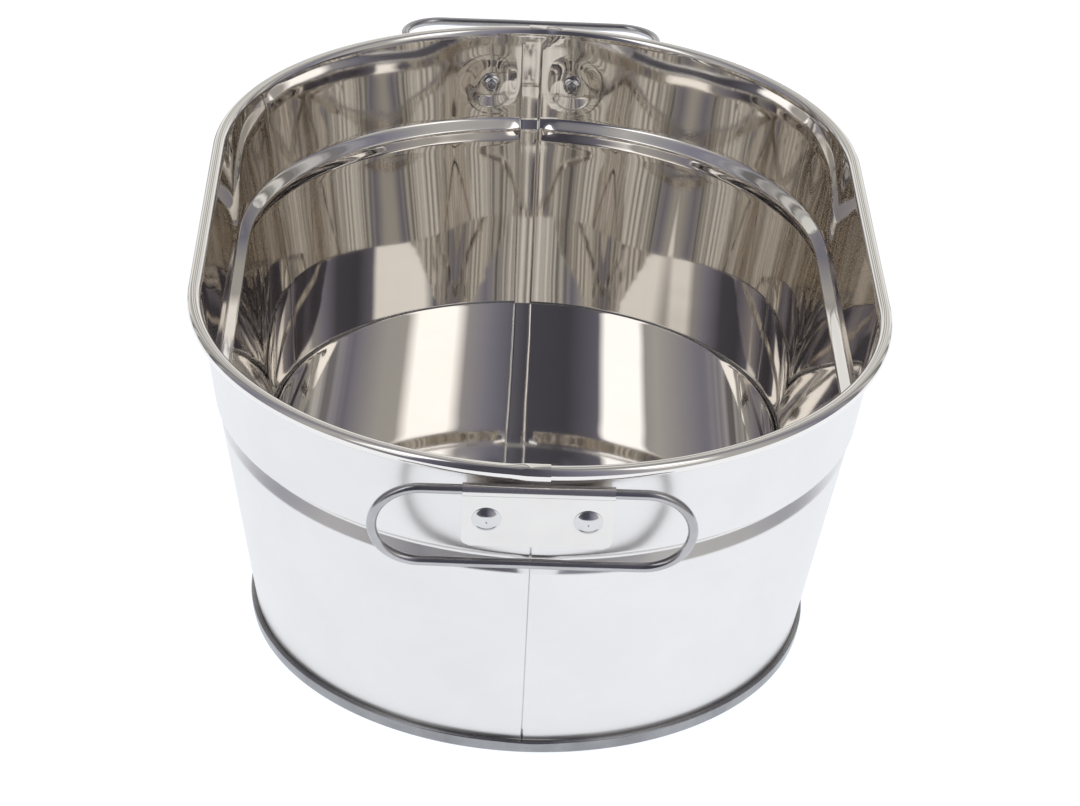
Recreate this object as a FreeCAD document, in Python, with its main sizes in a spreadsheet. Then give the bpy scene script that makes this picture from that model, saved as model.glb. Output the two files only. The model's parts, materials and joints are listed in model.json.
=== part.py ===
"""Oval stainless-steel foot bath with a drop handle at each end.

Millimetres.  X is the width, Y the length (the front end is -Y) and Z is up.
The origin is the centre of the plane that the bottom seam rests on.

The tub is two identical half shells, lock-seamed at both ends and rolled over
a rim wire.  A pressed pan is double-seamed to their lower edge.
In plan every level of the wall is a stadium: two straight sides of
2 * half_straight and two half circles, so one section of the wall is padded
along the sides and turned about the axes at (0, +-half_straight).
"""
import math
import os
import re

import FreeCAD
import Part
import Sketcher

DOC = FreeCAD.newDocument("FootBath")
SHEET = DOC.addObject("Spreadsheet::Sheet", "Sizes")

SIZES = [
    # the tub
    ("height", 151.0, "floor to the top of the rim curl"),
    ("half_straight", 69.0, "half the straight run of a long side"),
    ("rim_middle", 145.0, "end axis to the middle of the rim curl"),
    ("curl_radius", 3.0, "outside of the rim curl"),
    ("sheet", 0.5, "thickness of the stainless sheet"),
    ("base_radius", 117.5, "outside of the wall at floor level"),
    ("low_slope", 0.171, "outward lean of the wall below the bead"),
    # the pressed bead
    ("bead_low", 93.5, "lower edge of the bead"),
    ("bead_flat_low", 97.0, "lower edge of the bead's bottom"),
    ("bead_flat_high", 100.5, "upper edge of the bead's bottom"),
    ("bead_high", 105.5, "upper edge of the bead"),
    ("bead_low_depth", 2.2, "step in from the lower wall"),
    ("bead_high_radius", 136.3, "outside of the wall just above the bead"),
    ("bead_taper", 0.2, "lean of the bead's bottom"),
    # the double seam round the bottom
    ("seam_height", 6.0, "height of the bottom seam"),
    ("seam_pitch", 0.9, "layer to layer in the bottom seam"),
    ("floor_height", 12.0, "top of the pan's floor"),
    ("flange_lift", 0.2, "gap under the wall's flange in the bottom seam"),
    ("fold_lift", 0.4, "gap under the flange and the pan's inner fold together"),
    ("hook_drop", 0.7, "tip of the wall's hook below the top of the seam"),
    ("seal_drop", 0.3, "sealing compound below the top of the seam"),
    # the lock seams at the ends, as angles about the end axes
    ("lock_pitch", 0.55, "layer to layer in a lock seam"),
    ("lock_web", 0.22, "angle that a folded edge takes up"),
    ("lock_line", 1.4, "outer joint line, from the middle plane"),
    ("lock_gap", 0.1, "angle between the two edges at the line"),
    ("lock_edge", 2.3, "inner fold, on the other side of the middle"),
    ("lock_hook", 0.7, "tip of the hidden hook, from the middle plane"),
    ("lock_top", 143.5, "upper end of the folded layers"),
    ("lock_foot", 0.3, "lower end of the folded layers above the floor"),
    ("lap_start", 2.2, "angle where the rim lap opens out"),
    ("lap_end", 1.2, "angle where the rim lap ends, past the middle"),
    ("lap_gap", 0.05, "rim lap to the curl under it"),
    # rim wire
    ("wire_radius", 2.45, "rim wire inside the curl"),
    ("wire_gap", 0.4, "angle between the ends of the rim wire"),
    # handles and their ear plates
    ("handle_radius", 2.0, "handle wire"),
    ("handle_reach", 38.0, "hinge axis to the grip bar"),
    ("handle_half_bar", 43.5, "half the straight part of a bar"),
    ("handle_gap", 1.0, "gap between the wire ends in the barrel"),
    ("front_hang", 11.0, "front handle leans in from the vertical"),
    ("rear_swing", 86.5, "rear handle stands out from the vertical"),
    ("front_ear_across", -1.5, "front ear plate to the middle plane"),
    ("rear_ear_across", -0.7, "rear ear plate to the middle plane"),
    ("front_handle_slide", -1.8, "front handle along its barrel"),
    ("rear_handle_slide", 0.8, "rear handle along its barrel"),
    ("ear_width", 59.0, "ear plate"),
    ("ear_drop", 29.2, "hinge axis to the ear plate's lower edge"),
    ("ear_leaf", 0.6, "one leaf of the folded plate"),
    ("ear_corner", 4.0, "rounding of the lower corners"),
    ("ear_front_top", 1.6, "hinge axis to the top of the front leaf"),
    ("ear_gap", 0.02, "ear plate to the wall at the middle"),
    ("barrel_play", 0.08, "radial play of the wire in the barrel"),
    ("hinge_height", 139.0, "hinge axis above the floor"),
    # blind rivets
    ("rivet_across", 19.8, "rivet to the middle of the ear plate"),
    ("rivet_drop", 16.0, "rivet below the hinge axis"),
    ("rivet_head", 5.85, "head radius"),
    ("rivet_dome", 1.9, "head height"),
    ("rivet_edge", 0.4, "upright edge of the head"),
    ("rivet_shank", 3.2, "shank radius"),
    ("rivet_hole", 3.35, "radius of the holes for the rivets"),
    ("rivet_hole_depth", 1.7, "back of the ear plate to the wall at a rivet"),
    ("rivet_bulb", 3.9, "radius of the set end"),
    ("rivet_bulb_length", 3.4, "length of the set end"),
    ("rivet_bore", 1.3, "bore for the broken stem"),
    ("rivet_ring", 0.6, "flat ring round the bore"),
    ("bulb_edge", 0.3, "rounding of the set end towards the wall, across"),
    ("bulb_rise", 0.5, "rounding of the set end towards the wall, along"),
    ("bulb_taper", 1.2, "length of the set end's taper"),
    ("bulb_tip", 2.6, "radius of the set end's tip"),
    ("rivet_grip", 4.1, "ear plate, gap and wall between head and set end"),
    ("stem_head", 2.0, "radius of the stem's head"),
    ("stem_head_edge", 0.6, "upright edge of the stem's head"),
    ("stem_head_length", 1.4, "length of the stem's head"),
    ("stem_head_tip", 1.3, "radius of the end of the stem's head"),
    ("stem_recess", 0.9, "depth of the broken stem in the rivet head"),
]

for row, (alias, value, note) in enumerate(SIZES, start=1):
    SHEET.set(f"A{row}", alias)
    SHEET.set(f"B{row}", str(value))
    SHEET.set(f"C{row}", note)
    SHEET.setAlias(f"B{row}", alias)
DOC.recompute()

BODIES = []


# ---------------------------------------------------------------- expressions

def full(expression):
    """Spell the sheet's aliases out in full, so that any object can use them."""
    aliases = {alias for alias, _, _ in SIZES}

    def spell(match):
        word = match.group()
        return "Sizes." + word if word in aliases else word

    return re.sub("[a-z_]+", spell, expression)


def number(expression):
    """The present value of an expression in the sheet's aliases."""
    result = SHEET.evalExpression(full(expression))
    return float(getattr(result, "Value", result))


def bind(thing, prop, expression):
    """Drive a property from the sheet."""
    thing.setExpression(prop, full(expression))


# ------------------------------------------------------------------- sketches

def new_body(label):
    body = DOC.addObject("PartDesign::Body", label)
    body.Label = label
    BODIES.append(body)
    return body


def plane(body, role):
    return next(item for item in body.Origin.OriginFeatures if item.Role == role)


def new_sketch(body, name, role, offset="0", turn="0"):
    """A sketch on an origin plane, moved along its normal and turned about its
    own vertical axis."""
    sketch = body.newObject("Sketcher::SketchObject", f"{body.Name}_{name}")
    sketch.AttachmentSupport = [(plane(body, role), "")]
    sketch.MapMode = "FlatFace"
    sketch.AttachmentOffset = FreeCAD.Placement(
        FreeCAD.Vector(0, 0, number(offset)),
        FreeCAD.Rotation(FreeCAD.Vector(0, 1, 0), number(turn)),
    )
    if offset != "0":
        bind(sketch, ".AttachmentOffset.Base.z", offset)
    if turn != "0":
        bind(sketch, ".AttachmentOffset.Rotation.Angle", f"( {turn} ) * 1deg")
    return sketch


def pin_point(sketch, edge, point, x, y):
    """Hold one end of an edge at a place given by two expressions."""
    for kind, expression in (("DistanceX", x), ("DistanceY", y)):
        value = number(expression)
        if abs(value) < 1e-9:
            axis = -2 if kind == "DistanceX" else -1
            sketch.addConstraint(Sketcher.Constraint("PointOnObject", edge, point, axis))
            continue
        if value > 0:
            index = sketch.addConstraint(Sketcher.Constraint(kind, -1, 1, edge, point, value))
            bind(sketch, f"Constraints[{index}]", expression)
        else:
            index = sketch.addConstraint(Sketcher.Constraint(kind, edge, point, -1, 1, -value))
            bind(sketch, f"Constraints[{index}]", f"-1 * ( {expression} )")


def arc_through(start, stop, radius, side):
    """The shorter arc between two points; side 1 has its centre on the left."""
    chord = stop - start
    middle = (start + stop) * 0.5
    left = FreeCAD.Vector(-chord.y, chord.x, 0).normalize()
    rise = math.sqrt(max(radius ** 2 - (chord.Length / 2) ** 2, 0.0))
    centre = middle + left * (side * rise)
    crown = centre - left * (side * radius)
    return Part.Arc(start, crown, stop)


def draw(sketch, corners):
    """A closed outline.  A corner is (x, y) before a straight edge, or
    (x, y, radius, side) before an arc."""
    places = [FreeCAD.Vector(number(c[0]), number(c[1]), 0) for c in corners]
    edges = []
    for index, corner in enumerate(corners):
        start = places[index]
        stop = places[(index + 1) % len(places)]
        if len(corner) == 2:
            edge = Part.LineSegment(start, stop)
        else:
            edge = arc_through(start, stop, number(corner[2]), corner[3])
        edges.append(sketch.addGeometry(edge, False))
    ends = [edge_ends(sketch, edge, places[k]) for k, edge in enumerate(edges)]
    for index, corner in enumerate(corners):
        after = (index + 1) % len(corners)
        joint = Sketcher.Constraint("Coincident", edges[index], ends[index][1], edges[after], ends[after][0])
        sketch.addConstraint(joint)
        pin_point(sketch, edges[index], ends[index][0], corner[0], corner[1])
        if len(corner) > 2:
            bend = sketch.addConstraint(Sketcher.Constraint("Radius", edges[index], number(corner[2])))
            bind(sketch, f"Constraints[{bend}]", corner[2])


def edge_ends(sketch, edge, start):
    """Which end of an edge is its start: an arc always runs anticlockwise."""
    if (sketch.getPoint(edge, 1) - start).Length < 1e-6:
        return 1, 2
    return 2, 1


def draw_circle(sketch, x, y, radius):
    centre = FreeCAD.Vector(number(x), number(y), 0)
    circle = Part.Circle(centre, FreeCAD.Vector(0, 0, 1), number(radius))
    edge = sketch.addGeometry(circle, False)
    pin_point(sketch, edge, 3, x, y)
    index = sketch.addConstraint(Sketcher.Constraint("Radius", edge, number(radius)))
    bind(sketch, f"Constraints[{index}]", radius)


# ------------------------------------------------------------------- features

def pad(body, name, sketch, length, middle=False, reverse=False):
    feature = body.newObject("PartDesign::Pad", f"{body.Name}_{name}_pad")
    feature.Profile = sketch
    feature.Midplane = middle
    feature.Reversed = reverse
    bind(feature, "Length", length)
    return feature


def turn(body, name, sketch, angle):
    """Revolve a sketch anticlockwise about its own vertical axis."""
    feature = body.newObject("PartDesign::Revolution", f"{body.Name}_{name}_turn")
    feature.Profile = sketch
    feature.ReferenceAxis = (sketch, ["V_Axis"])
    bind(feature, "Angle", angle)
    return feature


def sweep_arc(body, name, corners, end, start, stop):
    """Turn an outline about the end axis from one azimuth to another.
    end is -1 at the front and 1 at the rear; azimuths are from +X."""
    offset = "half_straight" if end < 0 else "-1 * half_straight"
    sketch = new_sketch(body, name, "XZ_Plane", offset, start)
    draw(sketch, corners)
    return turn(body, name, sketch, f"( {stop} ) - ( {start} )")


def sweep_side(body, name, corners, side):
    """Pad an outline along a long side: side is -1 at -X and 1 at +X."""
    sketch = new_sketch(body, name, "XZ_Plane")
    draw(sketch, corners if side > 0 else mirrored(corners))
    return pad(body, name, sketch, "2 * half_straight", middle=True)


def mirrored(corners):
    """The same outline on the other side of the middle plane."""
    flipped = []
    for corner in corners:
        bend = corner[2:] and (corner[2], -corner[3])
        flipped.append((f"-1 * ( {corner[0]} )", corner[1], *bend))
    return flipped


# ----------------------------------------------------------- sections in r, z

UPPER_SLOPE = (
    "( rim_middle - curl_radius + sheet - bead_high_radius )"
    " / ( height - curl_radius - bead_high )"
)
UPPER_LEAN = f"atan( {UPPER_SLOPE} )"
HINGE_OUT = (
    f"half_straight + bead_high_radius + {UPPER_SLOPE} * ( hinge_height - bead_high )"
    f" + ( handle_radius + barrel_play + ear_leaf + ear_gap ) / cos( {UPPER_LEAN} )"
)


def wall_line(offset, low, high):
    """Corners up one face of the wall, from height low to height high; offset is
    measured outward from the outside of the wall."""
    depth = "base_radius + low_slope * bead_low - bead_low_depth"
    return [
        (f"base_radius + low_slope * ( {low} ) + {offset}", low),
        (f"base_radius + low_slope * bead_low + {offset}", "bead_low"),
        (f"{depth} + {offset}", "bead_flat_low"),
        (f"{depth} + bead_taper + {offset}", "bead_flat_high"),
        (f"bead_high_radius + {offset}", "bead_high"),
        (f"bead_high_radius + {UPPER_SLOPE} * ( ( {high} ) - bead_high ) + {offset}", high),
    ]


def low_radius(offset, level):
    """A point beside the lower wall."""
    return (f"base_radius + low_slope * ( {level} ) + {offset}", level)


def shell_section():
    """The wall with its lower edge flanged out and hooked up."""
    top = "height - curl_radius"
    outer = wall_line("0", "flange_lift + 2 * sheet", top)
    inner = wall_line("-1 * sheet", "flange_lift + sheet", top)
    hook = [
        low_radius("2 * seam_pitch", "flange_lift + sheet"),
        low_radius("2 * seam_pitch", "seam_height - hook_drop"),
        low_radius("2 * seam_pitch - sheet", "seam_height - hook_drop"),
        low_radius("2 * seam_pitch - sheet", "flange_lift + 2 * sheet"),
    ]
    return hook + outer + inner[::-1]


def layer_section(first, last):
    """The wall's layers from one level of the lock seam to another, counted
    inward from the outside."""
    low = "floor_height + lock_foot"
    outer = wall_line(f"-1 * {first} * lock_pitch", low, "lock_top")
    inner = wall_line(f"-1 * {last} * lock_pitch - sheet", low, "lock_top")
    return outer + inner[::-1]


def curl_section(inner, outer):
    """A rolled rim: from the top of the wall outward and almost closed."""
    start, middle, stop = 180, 22, -136
    corners = []
    for angle, radius, side in (
        (start, outer, -1), (middle, outer, -1), (stop, outer, 0),
        (stop, inner, 1), (middle, inner, 1), (start, inner, 0),
    ):
        place = (
            f"rim_middle + ( {radius} ) * cos( {angle} )",
            f"height - curl_radius + ( {radius} ) * sin( {angle} )",
        )
        corners.append(place + ((radius, side) if side else ()))
    return corners


def pan_section():
    """The pan: floor, wall down inside the shell, and the folds round its hook."""
    return [
        ("0", "floor_height"),
        low_radius("-1 * sheet", "floor_height"),
        low_radius("-1 * sheet", "sheet"),
        low_radius("3 * seam_pitch - sheet", "sheet"),
        low_radius("3 * seam_pitch - sheet", "seam_height - sheet"),
        low_radius("seam_pitch", "seam_height - sheet"),
        low_radius("seam_pitch", "fold_lift + 2 * sheet"),
        low_radius("seam_pitch - sheet", "fold_lift + 2 * sheet"),
        low_radius("seam_pitch - sheet", "seam_height"),
        low_radius("3 * seam_pitch", "seam_height"),
        low_radius("3 * seam_pitch", "0"),
        low_radius("-2 * sheet", "0"),
        low_radius("-2 * sheet", "floor_height - sheet"),
        ("0", "floor_height - sheet"),
    ]


def bottom_sealant_section():
    """Sealing compound between the wall and the fold beside it."""
    return [
        low_radius("0", "fold_lift + 2 * sheet"),
        low_radius("seam_pitch - sheet", "fold_lift + 2 * sheet"),
        low_radius("seam_pitch - sheet", "seam_height - seal_drop"),
        low_radius("0", "seam_height - seal_drop"),
    ]


# ------------------------------------------------------------------ sub-parts

FRONT = "270"
REAR = "90"


def half_shell(label, rotation, front_hole, rear_hole):
    """One half of the wall, drawn as the left one and turned to its side.

    Its front edge steps in over the other half and hooks round it; its rear
    edge is folded flat for the other half's hook.
    """
    body = new_body(label)
    wall = shell_section()
    curl = curl_section("curl_radius - sheet", "curl_radius")
    front_line = f"{FRONT} - lock_line - lock_gap"
    rear_line = f"{REAR} - lock_line"

    sweep_side(body, "wall_side", wall, -1)
    sweep_arc(body, "wall_front", wall, -1, "180", front_line)
    sweep_arc(body, "wall_rear", wall, 1, rear_line, "180")
    sweep_side(body, "curl_side", curl, -1)
    sweep_arc(body, "curl_front", curl, -1, "180", f"{FRONT} - lap_start")
    sweep_arc(body, "curl_rear", curl, 1, f"{REAR} - lap_start + 2 * lock_web", "180")

    # front edge: step in, run across, fold back outward
    edge = f"{FRONT} + lock_edge"
    sweep_arc(body, "step_in", layer_section(0, 3), -1, f"{front_line} - lock_web", front_line)
    sweep_arc(body, "cover", layer_section(3, 3), -1, f"{front_line} - lock_web", edge)
    sweep_arc(body, "fold", layer_section(1, 3), -1, f"{edge} - lock_web", edge)
    sweep_arc(body, "hook", layer_section(1, 1), -1, f"{FRONT} - lock_hook", edge)

    # rear edge: fold inward and run back
    sweep_arc(body, "rear_fold", layer_section(0, 2), 1, rear_line, f"{rear_line} + lock_web")
    sweep_arc(body, "rear_hook", layer_section(2, 2), 1, rear_line, f"{REAR} + lock_edge - 2 * lock_web")

    # the front end of the curl laps over the other half's curl
    lap_outer = "curl_radius + lap_gap + sheet"
    lap = curl_section("curl_radius + lap_gap", lap_outer)
    step = curl_section("curl_radius - sheet", lap_outer)
    sweep_arc(body, "lap_step", step, -1, f"{FRONT} - lap_start - lock_web", f"{FRONT} - lap_start")
    sweep_arc(body, "lap", lap, -1, f"{FRONT} - lap_start", f"{FRONT} + lap_end")

    rivet_hole(body, "front_hole", front_hole, True)
    rivet_hole(body, "rear_hole", rear_hole, False)
    turn_about_middle(body, rotation)
    return body


def rivet_hole(body, name, across, reverse):
    """A hole where the rivet's axis meets the wall."""
    depth = "( handle_radius + barrel_play + ear_leaf + rivet_hole_depth )"
    height = f"hinge_height + {depth} * sin( {UPPER_LEAN} ) - rivet_drop * cos( {UPPER_LEAN} )"
    sketch = new_sketch(body, name, "XZ_Plane")
    draw_circle(sketch, across, height, "rivet_hole")
    cut = body.newObject("PartDesign::Pocket", f"{body.Name}_{name}_cut")
    cut.Profile = sketch
    cut.Type = "ThroughAll"
    cut.Reversed = reverse


def turn_about_middle(body, angle):
    upright = FreeCAD.Vector(0, 0, 1)
    body.Placement = FreeCAD.Placement(FreeCAD.Vector(), FreeCAD.Rotation(upright, angle))


def bottom_pan():
    body = new_body("bottom_pan")
    section = pan_section()
    sweep_side(body, "right", section, 1)
    sweep_side(body, "left", section, -1)
    sweep_arc(body, "rear", section, 1, "0", "180")
    sweep_arc(body, "front", section, -1, "180", "360")
    return body


def bottom_seam_sealant():
    body = new_body("bottom_seam_sealant")
    section = bottom_sealant_section()
    sweep_side(body, "right", section, 1)
    sweep_arc(body, "rear", section, 1, "0", "180")
    sweep_side(body, "left", section, -1)
    sweep_arc(body, "front", section, -1, "180", "360")
    return body


def lock_seam_sealant(label, rotation):
    """A bead of compound in the fold of a lock seam, drawn at the front."""
    body = new_body(label)
    start = f"{FRONT} - lock_line + lock_web"
    sweep_arc(body, "bead", layer_section(1, 1), -1, start, f"{FRONT} - lock_hook")
    turn_about_middle(body, rotation)
    return body


def rim_wire():
    """One length of wire round the rim; its ends meet at the rear."""
    body = new_body("rim_wire")
    for side, name in ((1, "right"), (-1, "left")):
        sketch = new_sketch(body, name, "XZ_Plane")
        draw_circle(sketch, f"{side} * rim_middle", "height - curl_radius", "wire_radius")
        pad(body, name, sketch, "2 * half_straight", middle=True)
    for name, offset, start, stop in (
        ("front", "half_straight", "180", "360"),
        ("rear_right", "-1 * half_straight", "0", "90 - wire_gap / 2"),
        ("rear_left", "-1 * half_straight", "90 + wire_gap / 2", "180"),
    ):
        sketch = new_sketch(body, name, "XZ_Plane", offset, start)
        draw_circle(sketch, "rim_middle", "height - curl_radius", "wire_radius")
        turn(body, name, sketch, f"( {stop} ) - ( {start} )")
    return body


def hinge_placement(end, swing, across):
    """From a frame that hangs at the front hinge to the whole object's frame:
    swung outward by swing degrees, and carried to the rear when end is 1."""
    tilt = FreeCAD.Rotation(FreeCAD.Vector(1, 0, 0), -number(swing))
    around = FreeCAD.Rotation(FreeCAD.Vector(0, 0, 1), 180 if end > 0 else 0)
    base = FreeCAD.Vector(number(across), end * number(HINGE_OUT), number("hinge_height"))
    return FreeCAD.Placement(base, around * tilt)


def place_at_hinge(body, end, swing, across):
    body.Placement = hinge_placement(end, swing, across)
    bind(body, ".Placement.Base.x", across)
    bind(body, ".Placement.Base.y", f"{end} * ( {HINGE_OUT} )")
    bind(body, ".Placement.Base.z", "hinge_height")


def ear_plate(label, end, across):
    """A strip folded round the handle wire, its two leaves riveted to the wall.

    Drawn about the hinge axis with the wall on the +Y side.
    """
    body = new_body(label)
    inner = "handle_radius + barrel_play"
    outer = f"{inner} + ear_leaf"

    barrel = new_sketch(body, "barrel", "YZ_Plane")
    corners = []
    stop = 318
    for angle, radius, side in (
        (0, outer, 1), (stop / 2, outer, 1), (stop, outer, 0),
        (stop, inner, -1), (stop / 2, inner, -1), (0, inner, 0),
    ):
        place = (f"( {radius} ) * cos( {angle} )", f"( {radius} ) * sin( {angle} )")
        corners.append(place + ((radius, side) if side else ()))
    draw(barrel, corners)
    pad(body, "barrel", barrel, "ear_width", middle=True)

    half = "ear_width / 2"
    for name, near, top in (("back", inner, "0"), ("front", f"{inner} - ear_leaf", "-1 * ear_front_top")):
        leaf = new_sketch(body, name, "XZ_Plane", f"-1 * ( {near} )")
        draw(leaf, [
            (f"-1 * {half}", top),
            (f"-1 * {half}", "ear_corner - ear_drop", "ear_corner", 1),
            (f"ear_corner - {half}", "-1 * ear_drop"),
            (f"{half} - ear_corner", "-1 * ear_drop", "ear_corner", 1),
            (half, "ear_corner - ear_drop"),
            (half, top),
        ])
        pad(body, name, leaf, "ear_leaf", reverse=True)

    DOC.recompute()
    holes = new_sketch(body, "holes", "XZ_Plane")
    for side in (-1, 1):
        draw_circle(holes, f"{side} * rivet_across", "-1 * rivet_drop", "rivet_hole")
    cut = body.newObject("PartDesign::Pocket", f"{body.Name}_holes_cut")
    cut.Profile = holes
    cut.Type = "ThroughAll"
    cut.Midplane = True

    place_at_hinge(body, end, f"-1 * {UPPER_LEAN}", across)
    return body


def handle(label, end, swing, across):
    """A wire loop: the hinge bar is on the X axis and the grip hangs below it."""
    body = new_body(label)
    path = new_sketch(body, "path", "XZ_Plane")
    bend = "handle_reach / 2"
    stations = [
        ("handle_gap / 2", "0"),
        ("handle_half_bar", "0", bend, -1),
        ("handle_half_bar", "-1 * handle_reach"),
        ("-1 * handle_half_bar", "-1 * handle_reach", bend, -1),
        ("-1 * handle_half_bar", "0"),
        ("-1 * handle_gap / 2", "0"),
    ]
    draw_open(path, stations)
    section = new_sketch(body, "section", "YZ_Plane", "handle_gap / 2")
    draw_circle(section, "0", "0", "handle_radius")
    pipe = body.newObject("PartDesign::AdditivePipe", f"{body.Name}_pipe")
    pipe.Profile = section
    pipe.Spine = path
    place_at_hinge(body, end, swing, across)
    return body


def draw_open(sketch, stations):
    """The same as draw, but the last station isn't joined to the first."""
    places = [FreeCAD.Vector(number(s[0]), number(s[1]), 0) for s in stations]
    edges = []
    for index, station in enumerate(stations[:-1]):
        start, stop = places[index], places[index + 1]
        if len(station) == 2:
            edge = Part.LineSegment(start, stop)
        else:
            edge = arc_through(start, stop, number(station[2]), station[3])
        edges.append(sketch.addGeometry(edge, False))
    ends = [edge_ends(sketch, edge, places[k]) for k, edge in enumerate(edges)]
    for index, edge in enumerate(edges):
        pin_point(sketch, edge, ends[index][0], stations[index][0], stations[index][1])
        if index:
            joint = (edges[index - 1], ends[index - 1][1], edge, ends[index][0])
            sketch.addConstraint(Sketcher.Constraint("Coincident", *joint))
    pin_point(sketch, edges[-1], ends[-1][1], stations[-1][0], stations[-1][1])


def place_at_rivet(body, end, side, across):
    """The local Z axis points out of the ear plate's front leaf."""
    hang = hinge_placement(end, f"-1 * {UPPER_LEAN}", across)
    face = number("handle_radius + barrel_play - ear_leaf")
    local = FreeCAD.Vector(side * number("rivet_across"), face, -number("rivet_drop"))
    outward = FreeCAD.Placement(local, FreeCAD.Rotation(FreeCAD.Vector(1, 0, 0), 90))
    body.Placement = hang * outward


def lathe(body, name, corners):
    sketch = new_sketch(body, name, "XZ_Plane")
    draw(sketch, corners)
    turn(body, name, sketch, "360")


def rivet(label, end, side, across):
    """The hollow body of a set blind rivet, with its domed head at z > 0."""
    body = new_body(label)
    crown = "( rivet_head ^ 2 + rivet_dome ^ 2 ) / ( 2 * rivet_dome )"
    grip = "-1 * rivet_grip"
    lathe(body, "section", [
        ("rivet_bore", "rivet_dome"),
        ("rivet_bore + rivet_ring", "rivet_dome", crown, -1),
        ("rivet_head", "rivet_edge"),
        ("rivet_head", "0"),
        ("rivet_shank", "0"),
        ("rivet_shank", grip),
        ("rivet_bulb - bulb_edge", grip),
        ("rivet_bulb", f"{grip} - bulb_rise"),
        ("rivet_bulb", f"{grip} - rivet_bulb_length + bulb_taper"),
        ("bulb_tip", f"{grip} - rivet_bulb_length"),
        ("rivet_bore", f"{grip} - rivet_bulb_length"),
    ])
    place_at_rivet(body, end, side, across)
    return body


def stem(label, end, side, across):
    """The stem that set the rivet: broken off below the head, its own head
    swelling the far end."""
    body = new_body(label)
    tip = "-1 * ( rivet_grip + rivet_bulb_length )"
    lathe(body, "section", [
        ("0", "rivet_dome - stem_recess"),
        ("rivet_bore", "rivet_dome - stem_recess"),
        ("rivet_bore", tip),
        ("stem_head", tip),
        ("stem_head", f"{tip} - stem_head_edge"),
        ("stem_head_tip", f"{tip} - stem_head_length"),
        ("0", f"{tip} - stem_head_length"),
    ])
    place_at_rivet(body, end, side, across)
    return body


# ---------------------------------------------------------------- the assembly

def build():
    half_shell(
        "left_body_shell", 0,
        "front_ear_across - rivet_across", "rear_ear_across - rivet_across",
    )
    half_shell(
        "right_body_shell", 180,
        "-1 * ( rear_ear_across + rivet_across )", "-1 * ( front_ear_across + rivet_across )",
    )
    bottom_pan()
    rim_wire()
    bottom_seam_sealant()
    lock_seam_sealant("front_seam_sealant", 0)
    lock_seam_sealant("rear_seam_sealant", 180)
    for word, end in (("front", -1), ("rear", 1)):
        across = f"{word}_ear_across"
        ear_plate(f"{word}_ear_plate", end, across)
        for hand, side in (("left", -1), ("right", 1)):
            rivet(f"{word}_{hand}_rivet", end, -end * side, across)
            stem(f"{word}_{hand}_rivet_stem", end, -end * side, across)
    handle("front_handle", -1, "-1 * front_hang", "front_ear_across + front_handle_slide")
    handle("rear_handle", 1, "rear_swing", "rear_ear_across + rear_handle_slide")


def check_and_export():
    DOC.recompute()
    for item in DOC.Objects:
        if {"Invalid", "Error"} & set(item.State):
            raise RuntimeError(f"{item.Label} failed: {item.State}")
    os.makedirs("parts", exist_ok=True)
    for body in BODIES:
        shape = body.Shape
        if shape.isNull() or not shape.isValid() or len(shape.Solids) != 1:
            raise RuntimeError(f"{body.Label}: {len(shape.Solids)} solids, valid {shape.isValid()}")
    for body in BODIES:
        body.Shape.exportStep(f"parts/{body.Label}.step")
        box = body.Shape.optimalBoundingBox(False)
        print(
            f"{body.Label:24s} {body.Shape.Volume:10.1f} mm3"
            f"  x {box.XMin:7.1f} {box.XMax:7.1f}  y {box.YMin:7.1f} {box.YMax:7.1f}"
            f"  z {box.ZMin:6.1f} {box.ZMax:6.1f}"
        )


build()
check_and_export()
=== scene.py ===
"""Looks of the oval stainless-steel foot bath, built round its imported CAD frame.

Lengths in the tables and helpers are millimetres; meshes are made in metres.
X is the width, Y the length (the front end is -Y) and Z is up.
"""

import json
import math

import bpy
import numpy as np
from mathutils import Matrix, Vector, noise


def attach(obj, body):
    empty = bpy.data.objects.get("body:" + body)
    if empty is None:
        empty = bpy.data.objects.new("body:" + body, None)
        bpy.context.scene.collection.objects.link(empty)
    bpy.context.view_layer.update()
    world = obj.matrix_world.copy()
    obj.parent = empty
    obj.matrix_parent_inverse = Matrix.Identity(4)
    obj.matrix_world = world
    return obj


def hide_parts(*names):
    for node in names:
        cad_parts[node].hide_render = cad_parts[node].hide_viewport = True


MM = 0.001
DEGREES = 57.29578

# plan and section of the tub
HALF_STRAIGHT = 69.0
SHEET = 0.5
BASE_RADIUS = 117.5
LOW_SLOPE = 0.171
RIM_MIDDLE = 145.0
CURL_HEIGHT = 148.0
CURL_RADIUS = 2.75
CURL_END = -136.0
FLOOR_TOP = 12.0
SEAM_HEIGHT = 6.0

# bead pressed into the wall: (radius, height) outside, and how deep it stays at the seams
BEAD_FOOT = 95.0
BEAD_LOW = (131.5, 100.6)
BEAD_HIGH = (131.7, 101.8)
BEAD_TOP = (136.3, 105.5)
RIM_FOOT = 142.5
BEAD_AT_SEAM = 0.42
ARC_REFERENCE = 135.0          # radius at which distances round an end are measured

# lock seam at each end
SEAM_PITCH = 0.55
COVER_DEPTH = 3 * SEAM_PITCH
COVER_EDGE = 5.2
LAP_END = 3.0
FOLD_FOOT = FLOOR_TOP + 0.3
FOLD_TOP = 143.0
LAP_FOOT = 147.0

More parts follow.
